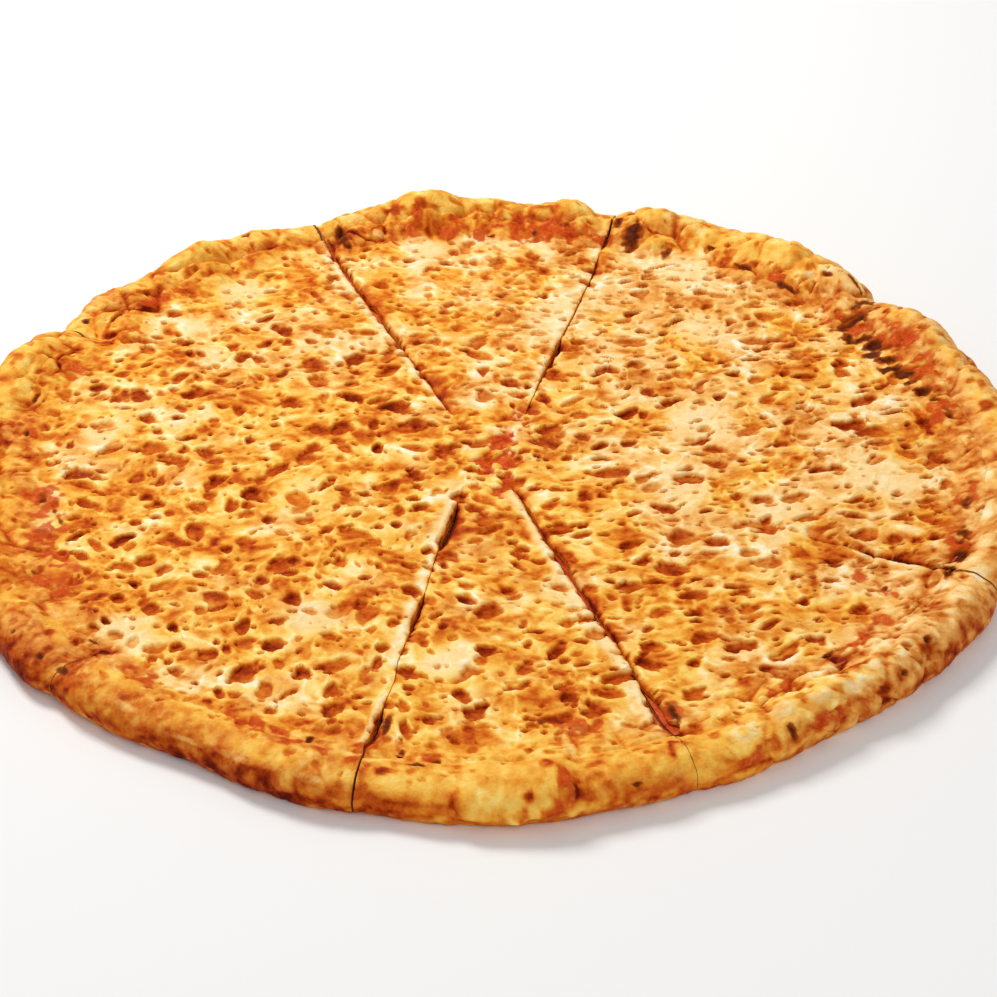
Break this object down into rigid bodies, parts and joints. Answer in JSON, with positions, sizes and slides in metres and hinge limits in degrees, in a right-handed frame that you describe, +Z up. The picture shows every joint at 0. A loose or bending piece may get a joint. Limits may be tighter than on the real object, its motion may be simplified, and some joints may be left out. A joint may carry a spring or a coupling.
{
  "type": "cheese pizza",
  "caption": "Large round cheese pizza with a low bubbled rim and pitted melted cheese, cut into wedges that still lie together as one round.",
  "frame": {"origin": "on the flat underside, at the middle of the outline's box", "axes": "+Z up through the pizza; -Y is the near side of the picture, +X is its right side"},
  "size_m": [0.356, 0.357, 0.019],
  "materials": {
    "crust": "baked dough: golden tan, browned and blistered on the rim, slightly rough",
    "sauce": "cooked tomato sauce: deep orange red, moist",
    "cheese": "melted cheese: pale yellow web with orange and red-brown pits, lightly oily"
  },
  "bodies": {
    "root": {"slice_1_crust": "crust", "slice_1_sauce": "sauce", "slice_1_cheese": "cheese", "slice_2_crust": "crust", "slice_2_sauce": "sauce", "slice_2_cheese": "cheese", "slice_3_crust": "crust", "slice_3_sauce": "sauce", "slice_3_cheese": "cheese", "slice_4_crust": "crust", "slice_4_sauce": "sauce", "slice_4_cheese": "cheese", "slice_5_crust": "crust", "slice_5_sauce": "sauce", "slice_5_cheese": "cheese", "slice_6_crust": "crust", "slice_6_sauce": "sauce", "slice_6_cheese": "cheese", "slice_7_crust": "crust", "slice_7_sauce": "sauce", "slice_7_cheese": "cheese", "slice_8_crust": "crust", "slice_8_sauce": "sauce", "slice_8_cheese": "cheese"}
  },
  "joints": []
}
